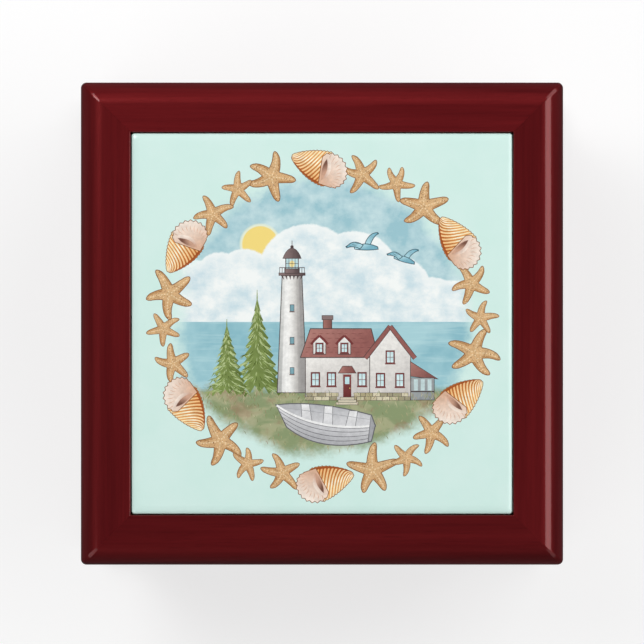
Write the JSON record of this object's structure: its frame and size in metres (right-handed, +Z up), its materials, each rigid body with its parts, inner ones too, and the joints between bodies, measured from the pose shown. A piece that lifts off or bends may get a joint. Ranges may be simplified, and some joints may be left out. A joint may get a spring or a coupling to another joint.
{
  "type": "keepsake box",
  "caption": "Square lacquered wooden keepsake box with a hinged lid that frames a printed ceramic tile.",
  "frame": {"origin": "centre of the felt underside", "axes": "+Z up through the lid, +Y towards the hinges at the back, -Y towards the front, X across"},
  "size_m": [0.1376, 0.1376, 0.0635],
  "materials": {
    "lacquered_wood": "red mahogany stain under gloss lacquer",
    "bare_board": "bare fibreboard",
    "printed_tile": "gloss glaze over a pale aqua print",
    "adhesive_foam": "foam tape",
    "black_velvet": "short black velvet pile",
    "black_felt": "black felt",
    "brass": "polished brass plate"
  },
  "bodies": {
    "box": {"base_felt": "black_felt", "base_rail_back": "lacquered_wood", "base_rail_front": "lacquered_wood", "base_rail_left": "lacquered_wood", "base_rail_right": "lacquered_wood", "floor_lining": "black_velvet", "floor_panel": "bare_board", "hinge_left_box_leaf": "brass", "hinge_left_pin": "brass", "hinge_right_box_leaf": "brass", "hinge_right_pin": "brass", "hinge_screws_box": "brass", "wall_back": "lacquered_wood", "wall_front": "lacquered_wood", "wall_left": "lacquered_wood", "wall_lining_back": "black_velvet", "wall_lining_front": "black_velvet", "wall_lining_left": "black_velvet", "wall_lining_right": "black_velvet", "wall_right": "lacquered_wood"},
    "lid": {"ceramic_tile": "printed_tile", "hinge_left_lid_leaf": "brass", "hinge_right_lid_leaf": "brass", "hinge_screws_lid": "brass", "lid_lining": "black_velvet", "lid_panel": "bare_board", "lid_rail_back": "lacquered_wood", "lid_rail_front": "lacquered_wood", "lid_rail_left": "lacquered_wood", "lid_rail_right": "lacquered_wood", "tile_adhesive_pads": "adhesive_foam"}
  },
  "joints": [
    {"name": "lid_hinge", "type": "hinge", "parent": "box", "child": "lid", "pos_m": [0, 0.06495, 0.0455], "axis": [-1, 0, 0], "range_deg": [0, 110]}
  ]
}
